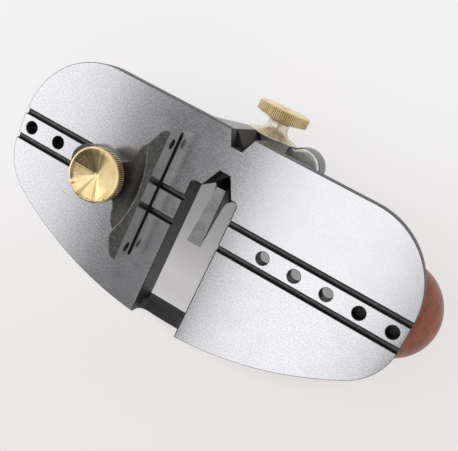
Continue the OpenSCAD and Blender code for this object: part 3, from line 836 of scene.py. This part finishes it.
def clamp_profile(length):
    flange = [(CLAMP_BORE, 0.0), (FLANGE_R - 0.15, 0.0), (FLANGE_R, 0.15), (FLANGE_R, 0.55),
              (FLANGE_R - 0.15, 0.7)]
    waist = arc((WAIST_R + COVE_R, 6.6), COVE_R, 232, 180, 12) + [(WAIST_R, 7.4)]
    under = [(WAIST_R + 0.35, 7.6), (8.9, 8.5), (WHEEL_R - 0.1, WHEEL_H - 0.1),
             (WHEEL_R, WHEEL_H + 0.1)]
    rim = [(WHEEL_R, length - 0.7), (WHEEL_R - 0.6, length - 0.1), (WHEEL_R - 0.8, length)]
    bore = [(3.3, length), (CLAMP_BORE, length - 0.3), (CLAMP_BORE, 0.0)]
    return flange + waist + under + rim + bore


def clamp_knob():
    length = CLAMP_END - FLANGE_Y
    bm = turned(clamp_profile(length), STEPS_A_TOOTH * WHEEL_TEETH,
                (WHEEL_H, length - 0.6, WHEEL_R - 0.05, TOOTH_DEPTH))
    shade(bm, degrees=24)
    stand(bm, (CLAMP_X, FLANGE_Y, CLAMP_Z), ALONG_Y)
    wheel = brass("clamp_brass", CLAMP_AXIS, "Y", roughness=0.26, dark=(0.86, 0.66, 0.32),
                  light=(0.95, 0.78, 0.44), metal=0.3)
    valley = brass("clamp_valley", CLAMP_AXIS, "Y", roughness=0.35, dark=(0.45, 0.31, 0.13),
                   light=(0.58, 0.42, 0.19), metal=0.3)
    # Painted sheen and reflection: the neck is a paler copy of the brass, with dark painted streaks.
    neck = brass("neck_sheen_brass", CLAMP_AXIS, "Y", roughness=0.24, dark=(0.80, 0.74, 0.60),
                 light=(0.95, 0.90, 0.76), metal=0.6, painted_streaks=0.5)
    for face in bm.faces:
        if face.calc_center_median().y < FLANGE_Y + NECK_H:
            face.material_index = 2
    piece("clamp_wheel", bm, "clamp_screw", [wheel, valley, neck], "clamp_knob")


clamp_knob()

# %% [markdown]
# The fence knob has a hub that presses on the washer, and a rim with a fine straight knurl. Its
# face was bored out to a shallow cone, and that cone gives the knob its bright and dark fans; two
# dark wedges are painted on it as dark fans of reflection as well. The cone gets several rings of
# points, because the fans need normals that turn evenly. The teeth's tops are painted paler as a
# highlight, and the hub and the underside are painted dark as shade.

# %% Fence knob
KNOB_TOP, KNOB_R, DISH, CONE_R = 17.0, 12.0, 3.6, 10.75
KNOB_BORE, BORE_END, HUB_R, HUB_LOW = 2.82, 12.0, 6.8, 8.35
RIM_LOW = KNOB_TOP - 5.3
RIM_TEETH, RIM_TOOTH_DEPTH = 80, 0.5


def fence_knob_profile():
    hub = [(0.0, BORE_END), (KNOB_BORE, BORE_END), (KNOB_BORE, HUB_LOW), (HUB_R - 0.3, HUB_LOW),
           (HUB_R, HUB_LOW + 0.25), (HUB_R, RIM_LOW - 1.4)]
    rim = [(KNOB_R - 0.5, RIM_LOW - 0.2), (KNOB_R, RIM_LOW + 0.2), (KNOB_R, KNOB_TOP - 0.6),
           (KNOB_R - 0.5, KNOB_TOP - 0.08), (KNOB_R - 0.95, KNOB_TOP),
           (KNOB_R - 1.2, KNOB_TOP - 0.08)]
    cone = [(r, KNOB_TOP - 0.12 - DISH * (1 - r / CONE_R))
            for r in (10.7, 9.0, 7.0, 5.0, 3.0, 1.5, 0.5)]
    return hub + rim + cone + [(0.0, KNOB_TOP - DISH)]


def fence_knob():
    bm = turned(fence_knob_profile(), STEPS_A_TOOTH * RIM_TEETH,
                (RIM_LOW, KNOB_TOP - 0.4, KNOB_R - 0.05, RIM_TOOTH_DEPTH))
    shade(bm, degrees=24)
    axis = (FENCE_STUD_X, 0, 0)
    stand(bm, axis)
    # Painted reflection: two dark wedges in the cone stand for its dark fans.
    face_brass = brass("fence_knob_brass", axis, "Z", roughness=0.15, painted_dark_fans=(-107, -66))
    valley = valley_brass(face_brass.name, axis, "Z")
    # Painted shade: the hub and the underside are a dark copy of the brass.
    shaded_underside = brass("shaded_underside_brass", axis, "Z", roughness=0.4, dark=(0.17, 0.155, 0.125),
                 light=(0.25, 0.23, 0.19))
    # Painted highlight: the teeth's tops are a paler, less metallic copy of the brass.
    tooth_top_highlight = brass("tooth_top_highlight_brass", axis, "Z", roughness=0.3, dark=(0.70, 0.55, 0.30),
                 light=(0.84, 0.69, 0.41), metal=0.5)
    for face in bm.faces:
        height = face.calc_center_median().z
        on_rim = height < KNOB_TOP - 0.5 and abs(face.normal.z) < 0.3
        if height < RIM_LOW + 0.1:
            face.material_index = 2
        elif face.material_index == 0 and on_rim:
            face.material_index = 3
    piece("fence_wheel", bm, "fence_screw", [face_brass, valley, shaded_underside, tooth_top_highlight],
          "fence_knob")


fence_knob()

# %% [markdown]
# The adjuster's nut turns in the collar's lug. Its rim stands under the lug, as seen in this
# view, where a thumb reaches it, and has the same straight knurl as the other knobs. The same
# lathe makes it, with a groove near the hub's end for the ring that keeps it in the lug.

# %% Adjuster nut
NUT_LOW, NUT_RIM_TOP, NUT_TOP = -58.3, -53.3, -38.2
NUT_BORE, NUT_R, NUT_HUB_R, NUT_GROOVE_R = 3.05, 8.5, 4.4, 3.9
RING_LOW, RING_TOP = NUT_TOP - 3.0, NUT_TOP - 2.0
NUT_TEETH = 48


def nut_profile():
    rim = [(NUT_BORE, NUT_LOW), (7.3, NUT_LOW), (NUT_R, NUT_LOW + 0.9),
           (NUT_R, NUT_RIM_TOP - 0.5), (NUT_R - 0.5, NUT_RIM_TOP)]
    groove = [(NUT_HUB_R, RING_LOW), (NUT_GROOVE_R, RING_LOW), (NUT_GROOVE_R, RING_TOP),
              (NUT_HUB_R, RING_TOP)]
    end = [(NUT_HUB_R, NUT_TOP - 0.3), (NUT_HUB_R - 0.3, NUT_TOP), (NUT_BORE, NUT_TOP)]
    return rim + [(NUT_HUB_R, NUT_RIM_TOP)] + groove + end + rim[:1]


def adjuster_nut():
    axis = (*ROD, 0)
    bm = turned(nut_profile(), STEPS_A_TOOTH * NUT_TEETH,
                (NUT_LOW + 0.8, NUT_RIM_TOP - 0.4, NUT_R - 0.1, TOOTH_DEPTH))
    shade(bm, degrees=24)
    stand(bm, axis)
    material = brass("adjuster_brass", axis, "Z", roughness=0.24)
    piece("adjuster_wheel", bm, "adjuster",
          [material, valley_brass(material.name, axis, "Z")], "adjuster_nut")


adjuster_nut()

# %% [markdown]
# The cutter is forged in one piece with its square shank, and its foot is ground. The frame's
# shape is kept, with the foot's left side moved out a little as in the photograph. Its edges are
# left almost sharp, because a cutter with soft edges would look worn out. The foot, its two sides
# and the dark shank get a finish each: the sides are painted darker than the foot as shade, and
# the shank is blackened steel, painted darker still for the deep shade it lies in.

# %% Cutter
FOOT_LEFT = 0.8
FOOT_LOW, FOOT_REAR, SHANK_TOP = -9, 15, -14
CUTTER_EDGE = 0.12


def cutter():
    bm = cad_copy("cutter")
    for v in bm.verts:
        if v.co.z > FOOT_LOW and v.co.y < FOOT_REAR and v.co.x < CLAMP_X - 1:
            v.co.x -= FOOT_LEFT
    ease(bm, sharp_edges(bm, degrees=20), CUTTER_EDGE)
    bm.normal_update()
    for face in bm.faces:
        # Painted shade: the foot's sides and the shank take the darker finishes.
        at_foot = face.calc_center_median().z > SHANK_TOP
        at_side = at_foot and abs(face.normal.x) > 0.9
        face.material_index = 1 if at_side else 0 if at_foot else 2
    shade(bm, degrees=30)
    piece("cutting_iron", bm, "depth_slide",
          [cutter_steel, foot_side_shade, shank_black_and_shade], "cutter")


cutter()

# %% [markdown]
# The collar slides on the post. Its near face was ground and has gone dull, the chamfer round it
# is painted bright as a highlight, and the round end of its lug is polished by handling. Its
# upright sides are painted dark as a dark reflection. The chamfers could be modelled in the CAD,
# but they belong to the look, so they are bevels here: wide and round on the lug, narrower along
# the rest of the outline, and a hair elsewhere.

# %% Collar
COLLAR_NEAR, COLLAR_FAR = -38.2, -53.2
COLLAR_MIDDLE = (4, 20)
LUG_FROM_X = 13.7
LUG_EDGE, COLLAR_EDGE, FINE_EDGE = 2.2, 0.8, 0.15


def on_outline(edge):
    """Whether an upright face beside the edge looks away from the collar's middle."""
    for face in edge.link_faces:
        centre = face.calc_center_median()
        outward = face.normal.dot(centre - Vector((*COLLAR_MIDDLE, centre.z))) > 0
        if abs(face.normal.z) < 0.1 and outward:
            return True
    return False


def at_an_end(edge):
    return all(min(abs(v.co.z - COLLAR_NEAR), abs(v.co.z - COLLAR_FAR)) < 0.01 for v in edge.verts)


def collar():
    bm = cad_copy("clamp_collar", [CLAMP_X, ROD[0]])
    outer = [e for e in sharp_edges(bm, degrees=40)
             if e.is_convex and at_an_end(e) and on_outline(e)]
    lug = [e for e in outer
           if all(v.co.x > LUG_FROM_X and v.co.z > COLLAR_NEAR - 0.1 for v in e.verts)]
    ease(bm, lug, LUG_EDGE, segments=6, clamp=False)
    ease(bm, [e for e in outer if e.is_valid and e not in lug], COLLAR_EDGE)
    rest = [e for e in sharp_edges(bm, degrees=40) if e.is_convex]
    ease(bm, rest, FINE_EDGE, segments=1)
    bm.normal_update()
    # Painted light: upright faces take the dark reflection steel, tilted ones the highlight steel.
    for face in bm.faces:
        level = abs(face.normal.z)
        face.material_index = 0 if level > 0.99 else 2 if level > 0.55 else 1
    shade(bm, degrees=50)
    piece("collar", bm, "depth_slide",
          [ground_steel, dark_reflection_steel, highlight_steel], "clamp_collar")


collar()

# %% [markdown]
# The fence is cast in one piece: a bar, a leg with a slot, and a cove where they meet. The cove is
# a quarter of a circle in section, and it is swept along the foot of the bar's hollow side, as a
# moulder sweeps a fillet. Two small gussets fill the corners between the leg and the bar's ends.
# They only have to overlap the fence here, because the next step joins all of it into one skin.

# %% Fence: cove and gussets
FENCE_LOW, LEG_TOP, COVE = 0.05, 7.0, 4.5
COVE_HALF_ANGLE = math.radians(21.5)
SPARE = 1.0
GUSSET = ((4.0, 16.5), (11.7, 16.5), (11.2, 18.2), (9.9, 19.8), (8.4, 21.0), (7.2, 22.6),
          (4.0, 23.0))


def fence_cove(bm):
    centre = Vector((FENCE_X - HOLLOW_U, FENCE_Y, 0))
    section = [(HOLLOW_R + 0.6, LEG_TOP - 0.6), (HOLLOW_R - COVE, LEG_TOP - 0.6)]
    section += arc((HOLLOW_R - COVE, LEG_TOP + COVE), COVE, -90, 0, 8)
    section += [(HOLLOW_R + 0.6, LEG_TOP + COVE)]
    line = [bm.verts.new(centre + Vector((r, 0, h + FENCE_LOW))) for r, h in section]
    face = bm.faces.new(line)
    bmesh.ops.rotate(bm, cent=centre, verts=face.verts,
                     matrix=Matrix.Rotation(-COVE_HALF_ANGLE, 3, "Z"))
    bmesh.ops.duplicate(bm, geom=[face])
    bmesh.ops.spin(bm, geom=[face], cent=centre, axis=(0, 0, 1), angle=2 * COVE_HALF_ANGLE,
                   steps=24)


def fence_gusset(bm, side):
    low = FENCE_LOW - SPARE
    line = [bm.verts.new((FENCE_X - u, FENCE_Y + side * v, low)) for u, v in GUSSET]
    made = bmesh.ops.extrude_face_region(bm, geom=[bm.faces.new(line)])
    top = [v for v in made["geom"] if isinstance(v, bmesh.types.BMVert)]
    bmesh.ops.translate(bm, vec=(0, 0, LEG_TOP + 0.2 + SPARE), verts=top)


print("the cove has a radius of", COVE, "mm")

# %% [markdown]
# A cast piece has no inner walls, and its corners are soft. A boolean union would join the shapes
# but keep the corners hard, so a voxel remesh and a light smoothing make one even skin instead.
# That also softens the faces that were ground, so these are cut flat again, as a grinder would.

# %% Fence: one skin, cut flat
VOXEL = 0.4


def skin(bm):
    """The outside of everything in bm as one even skin."""
    rough = mesh_object("rough_fence", bm)
    mesh = rough.data
    remesh = rough.modifiers.new("skin", "REMESH")
    remesh.mode, remesh.voxel_size, remesh.adaptivity = "VOXEL", VOXEL, 0.0
    smooth = rough.modifiers.new("smooth", "SMOOTH")
    smooth.factor, smooth.iterations = 0.5, 6
    ready = rough.evaluated_get(bpy.context.evaluated_depsgraph_get())
    made = bmesh.new()
    made.from_mesh(ready.to_mesh())
    ready.to_mesh_clear()
    bpy.data.objects.remove(rough)
    bpy.data.meshes.remove(mesh)
    return made


def cut_flat(bm, point, outward):
    """Cuts bm off along a plane, and returns the faces that close the cut."""
    rim = cut_off(bm, point, outward, dist=1e-4)
    made = bmesh.ops.triangle_fill(bm, edges=rim, use_beauty=True, normal=outward)
    return [f for f in made["geom"] if isinstance(f, bmesh.types.BMFace)]


print("the skin has voxels of", VOXEL, "mm")

# %% [markdown]
# The fence starts as a copy of the frame's piece, without its keys and with some spare iron where
# it will be ground. After the skin is made, its underside and face are cut flat, and a third cut
# makes a chamfer at the face's foot, painted near black as the contact shadow there. A low black
# strip along that foot is painted contact shadow too. Two keys reach down into the sole's
# grooves, and keep the fence square.

# %% Fence
GROUND_FACE, CONTACT_SHADE = 1, 2
FENCE_ROUND, KEY_EDGE = 2.2, 0.2
FOOT_CHAMFER = 1.2
SHADE_STRIP_W, SHADE_STRIP_H, SHADE_STRIP_REACH = 0.7, 0.1, 29.0
SHADE_STRIP_SUNK = 0.2
KEY_SIZE = (12.0, 2.2, 2.0)
KEY_AT, KEY_DEPTH = 8.0, 0.4


def rough_fence():
    """The frame's fence with its keys pushed flat, spare iron to grind off, and round ends."""
    bm = cad_copy("fence")
    for v in [v for v in bm.verts if v.co.z < -0.5]:
        v.co.z = FENCE_LOW
    for v in bm.verts:
        if v.co.x > FENCE_X - 0.01:
            v.co.x += SPARE
        if v.co.z < FENCE_LOW + 0.01:
            v.co.z -= SPARE
    bmesh.ops.remove_doubles(bm, verts=bm.verts, dist=WELD)
    ends = [e for e in sharp_edges(bm, degrees=12)
            if abs(e.verts[0].co.z - e.verts[1].co.z) > 3 and e.is_convex
            and e.verts[0].co.x < FENCE_X - 1 and abs(e.verts[0].co.y - FENCE_Y) > 20]
    ease(bm, ends, FENCE_ROUND, segments=5, clamp=False)
    return bm


def block(bm, size, centre):
    """Adds a box to bm, and returns its points."""
    points = bmesh.ops.create_cube(bm, size=1.0)["verts"]
    bmesh.ops.scale(bm, vec=size, verts=points)
    bmesh.ops.translate(bm, vec=centre, verts=points)
    return points


def fence():
    bm = rough_fence()
    fence_cove(bm)
    for side in (-1, 1):
        fence_gusset(bm, side)
    bmesh.ops.recalc_face_normals(bm, faces=bm.faces)
    bm = skin(bm)
    smooth_faces(bm)
    for point, outward, index in (((0, 0, FENCE_LOW), (0, 0, -1), GROUND_FACE),
                                  ((FENCE_X, 0, 0), (1, 0, 0), GROUND_FACE),
                                  ((FENCE_X, 0, FENCE_LOW + FOOT_CHAMFER), (1, 0, -1), CONTACT_SHADE)):
        for face in cut_flat(bm, point, outward):
            face.material_index = index
            face.smooth = False
    bmesh.ops.recalc_face_normals(bm, faces=bm.faces)
    crease(bm, degrees=50)
    # Painted shadow: a thin black strip where the fence meets the sole.
    shade_strip = block(bm, (SHADE_STRIP_W + 2 * SHADE_STRIP_SUNK, 2 * SHADE_STRIP_REACH, SHADE_STRIP_H),
                 (FENCE_X + SHADE_STRIP_W / 2 - SHADE_STRIP_SUNK, FENCE_Y, FENCE_LOW + SHADE_STRIP_H / 2))
    for face in {f for v in shade_strip for f in v.link_faces}:
        face.material_index = CONTACT_SHADE
    for side in (-1, 1):
        key = block(bm, KEY_SIZE, (FENCE_X - KEY_AT, GROOVE_MID_Y + side * GROOVE_REACH,
                                   FENCE_LOW - KEY_DEPTH))
        ease(bm, list({e for v in key for e in v.link_edges}), KEY_EDGE)
    piece("sliding_fence", bm, "fence_slide",
          [cast_finish, fence_face_finish, painted_shade_finish], "fence")


fence()

# %% [markdown]
# The tool lies on a plain pale table. Its paint is partly lit and partly glows for the camera, and
# for rays that come off metal or through glass, so that these see the same table. More light would
# make the table as pale, but would also bleach the tool. The glow fades under the tool as light
# does in a narrow gap, and a little more in the patch that shows through the throat's mouth.

# %% Floor
GLOW_SHARE = 0.72
SHADE_COLOUR = (0.26, 0.257, 0.255)
SHADOW_RIGHT, SHADOW_FRONT, SHADOW_REACH = 5, 26, (95, 60)


def floor_finish():
    f = finish("pale_floor")
    outputs = f.node("ShaderNodeLightPath").socket.node.outputs
    seen = 0.0
    for ray in ("Is Camera Ray", "Is Glossy Ray", "Is Transmission Ray"):
        ray_flow = Flow(f, outputs[ray])
        seen = ray_flow.math("MAXIMUM", seen, ray_flow)
    open_sky = f.node("ShaderNodeAmbientOcclusion", {"samples": 12}, {"Distance": 0.10}, output=1)
    x, y, _ = f.axes(f.place_mm())
    # Painted fall of light: the glow is a little darker and warmer towards the front right.
    far = f.band(y * 0.87 - x * 0.48, -95, 60)
    plain = f.blend(far, (0.900, 0.862, 0.855), (1.0, 0.985, 0.99))
    across, along = (x - SHADOW_RIGHT) / SHADOW_REACH[0], (y + SHADOW_FRONT) / SHADOW_REACH[1]
    under = f.band(across * across + along * along, 0.45, 1.05, 1, 0)
    shut = under * f.band(open_sky, 0.36, 1.0, 1, 0)
    through = f.band(y, -80, -73) * f.band(y, -60, -46, 1, 0)
    through = through * f.band(x, -45, -38) * f.band(x, 0, 8, 1, 0)
    glow_colour = f.blend(shut + through * 0.2, plain, SHADE_COLOUR)
    paint = f.node("ShaderNodeBsdfDiffuse", None, {"Color": (0.83, 0.82, 0.815, 1)})
    glow = f.node("ShaderNodeEmission", None, {"Color": glow_colour, "Strength": 1.0})
    mixed = f.node("ShaderNodeMixShader", None, {0: seen * GLOW_SHARE, 1: paint, 2: glow})
    f.node("ShaderNodeOutputMaterial", None, {0: mixed})
    return f.owner


def pale_floor(half=6.0):
    bm = bmesh.new()
    bmesh.ops.create_grid(bm, x_segments=1, y_segments=1, size=half)
    ground = mesh_object("floor", bm)
    ground.data.materials.append(floor_finish())
    print("floor of", 2 * half, "m laid")


pale_floor()

# %% [markdown]
# A flat ground face shows whatever hangs above it. In the photograph the sole is bright at both
# ends and dark in a band across its left half, so there is a soft box on the left, one on the
# right and a gap between them. One behind them lights the fans in the knob's cone, and two small
# ones on the right turn its dark fan to where the photograph has it. A sun or point lamps would
# light the iron as well, but it would mirror them as hard spots.

# %% Soft boxes
LAMP_HEIGHT = 2.55


def soft_box(name, left, right, front, rear, radiance):
    """A level area lamp that looks straight down, with its four sides in metres."""
    lamp = bpy.data.lights.new(name, "AREA")
    lamp.shape = "RECTANGLE"
    lamp.size, lamp.size_y = right - left, rear - front
    lamp.energy = radiance * 4 * lamp.size * lamp.size_y
    box = new_object(name, lamp)
    box.matrix_world = Matrix.Translation(((left + right) / 2, (front + rear) / 2, LAMP_HEIGHT))
    print(name, round(lamp.energy, 1), "W")


soft_box("box_right", left=-0.60, right=0.16, front=-1.6, rear=0.02, radiance=1.08)
soft_box("box_left", left=-3.6, right=-1.25, front=-1.6, rear=0.02, radiance=1.03)
soft_box("box_rear", left=-3.2, right=0.22, front=0.02, rear=1.4, radiance=1.0)
soft_box("box_corner", left=0.22, right=0.37, front=-0.08, rear=1.4, radiance=1.0)
soft_box("box_side", left=0.33, right=0.62, front=-0.75, rear=-0.08, radiance=0.7)

# %% [markdown]
# Between the soft boxes the iron mirrors the room. A plain grey world would light it evenly, but
# a studio is dark overhead and pale round its walls, so the world's strength falls with height. It
# is a little brighter high up on the right, and a dark screen hangs in front at middle height.

# %% Studio world
OVERHEAD, RIGHT_GLOW = 0.07, 0.42
SCREEN = 0.75


def studio_world():
    world = bpy.data.worlds.new("studio")
    bpy.context.scene.world = world
    f = Finish(world)
    east, north, up = f.axes(f.node("ShaderNodeTexCoord", output="Generated"))
    screen = f.band(north, -0.72, -0.60, SCREEN, 0.0) * f.band(up, 0.38, 0.50)
    walls = f.band(up, 0.55, 0.80, 1.0, OVERHEAD)
    level = walls + f.band(east, 0.22, 0.44, 0.0, RIGHT_GLOW) * f.band(up, 0.6, 0.8)
    sky = f.node("ShaderNodeBackground", None,
                 {"Color": (1, 1, 1, 1), "Strength": level * (1.0 - screen)})
    f.node("ShaderNodeOutputWorld", None, {0: sky})


studio_world()
bpy.context.scene.view_settings.view_transform = "Standard"
print("the world is lit, and the view transform is", bpy.context.scene.view_settings.view_transform)
